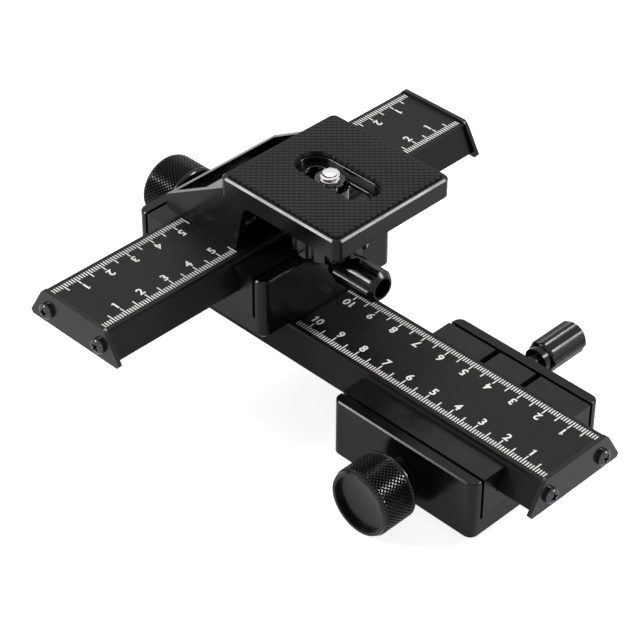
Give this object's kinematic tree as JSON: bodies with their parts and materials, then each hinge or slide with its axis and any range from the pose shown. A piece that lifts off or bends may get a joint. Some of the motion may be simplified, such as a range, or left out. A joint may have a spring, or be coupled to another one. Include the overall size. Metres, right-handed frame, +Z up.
{
  "type": "macro focusing rail",
  "caption": "Crossed pair of rack-and-pinion dovetail slides with locks, scales and a raised platform that holds a camera for close-up focusing.",
  "frame": {"origin": "centre of the mouth of the tripod socket, in the middle of the lower block's underside", "axes": "+Y along the lower rail towards the upper block, +X along the upper rail, +Z up"},
  "size_m": [0.1668, 0.1854, 0.0778],
  "materials": {
    "black_paint": "satin black paint over cast and machined aluminium",
    "black_anodised": "black anodised, fine satin, with a white printed scale",
    "knurled_black": "black anodised with a diamond knurl",
    "gloss_black": "glossy black moulding",
    "pad_rubber": "finely textured matt black rubber",
    "black_screw": "glossy black plated steel",
    "zinc_steel": "zinc plated, dull",
    "bright_steel": "bright turned steel",
    "bush_brass": "turned, plain"
  },
  "bodies": {
    "base": {"lower_housing": "black_paint", "lower_saddle": "black_paint", "lower_saddle_screws": "zinc_steel", "tripod_bush": "bright_steel", "lower_outer_bush": "black_anodised", "lower_inner_bush": "bush_brass"},
    "lower_drive": {"lower_pinion_shaft": "bright_steel", "lower_drive_knob": "knurled_black", "lower_grub_screw": "black_screw"},
    "lower_clamp": {"lower_clamp_shoe": "black_paint"},
    "lower_lock": {"lower_lock_screw": "bright_steel", "lower_lock_knob": "gloss_black"},
    "lower_slide": {"lower_rail": "black_anodised", "lower_rack": "zinc_steel", "lower_front_cap": "black_paint", "lower_back_cap": "black_paint", "lower_cap_screws": "black_screw", "upper_housing": "black_paint", "upper_housing_screws": "black_screw", "upper_saddle": "black_paint", "upper_saddle_screws": "zinc_steel", "upper_outer_bush": "black_anodised", "upper_inner_bush": "bush_brass"},
    "upper_drive": {"upper_pinion_shaft": "bright_steel", "upper_drive_knob": "knurled_black", "upper_grub_screw": "black_screw"},
    "upper_clamp": {"upper_clamp_shoe": "black_paint"},
    "upper_lock": {"upper_lock_screw": "bright_steel", "upper_lock_knob": "gloss_black"},
    "upper_slide": {"upper_rail": "black_anodised", "upper_rack": "zinc_steel", "upper_left_cap": "black_paint", "upper_right_cap": "black_paint", "upper_cap_screws": "black_screw", "camera_platform": "black_paint", "platform_pad": "pad_rubber", "platform_screws": "black_screw"},
    "screw_carriage": {"screw_clip": "black_screw"},
    "camera_knob": {"camera_screw": "bright_steel", "thumbwheel": "gloss_black"}
  },
  "joints": [
    {"name": "lower_travel", "type": "slide", "parent": "base", "child": "lower_slide", "axis": [0, 1, 0], "range_m": [-0.0915, 0.0133]},
    {"name": "lower_drive_turn", "type": "hinge", "parent": "base", "child": "lower_drive", "pos_m": [-0.0338, 0, 0.0082], "axis": [-1, 0, 0], "range_deg": [-1008.4, 146.7]},
    {"name": "lower_clamp_travel", "type": "slide", "parent": "base", "child": "lower_clamp", "axis": [1, 0, 0], "range_m": [0, 0.0004]},
    {"name": "lower_lock_turn", "type": "hinge", "parent": "lower_clamp", "child": "lower_lock", "pos_m": [0.0354, 0, 0.0175], "axis": [1, 0, 0], "range_deg": [0, 180]},
    {"name": "upper_travel", "type": "slide", "parent": "lower_slide", "child": "upper_slide", "axis": [1, 0, 0], "range_m": [-0.0506, 0.0506]},
    {"name": "upper_drive_turn", "type": "hinge", "parent": "lower_slide", "child": "upper_drive", "pos_m": [0.003, 0.1254, 0.0321], "axis": [0, 1, 0], "range_deg": [-557.6, 557.6]},
    {"name": "upper_clamp_travel", "type": "slide", "parent": "lower_slide", "child": "upper_clamp", "axis": [0, -1, 0], "range_m": [0, 0.0004]},
    {"name": "upper_lock_turn", "type": "hinge", "parent": "upper_clamp", "child": "upper_lock", "pos_m": [0.003, 0.0562, 0.0414], "axis": [0, -1, 0], "range_deg": [0, 180]},
    {"name": "screw_travel", "type": "slide", "parent": "upper_slide", "child": "screw_carriage", "axis": [0, -1, 0], "range_m": [-0.0042, 0.0129]},
    {"name": "camera_screw_turn", "type": "hinge", "parent": "screw_carriage", "child": "camera_knob", "pos_m": [0.003, 0.0624, 0.0478], "axis": [0, 0, 1], "continuous": true}
  ],
  "couplings": [
    {"joint": "lower_drive_turn", "follows": "lower_travel", "rad_per_m": 192.31},
    {"joint": "upper_drive_turn", "follows": "upper_travel", "rad_per_m": 192.31},
    {"joint": "lower_lock_turn", "follows": "lower_clamp_travel", "rad_per_m": 7854},
    {"joint": "upper_lock_turn", "follows": "upper_clamp_travel", "rad_per_m": 7854}
  ]
}
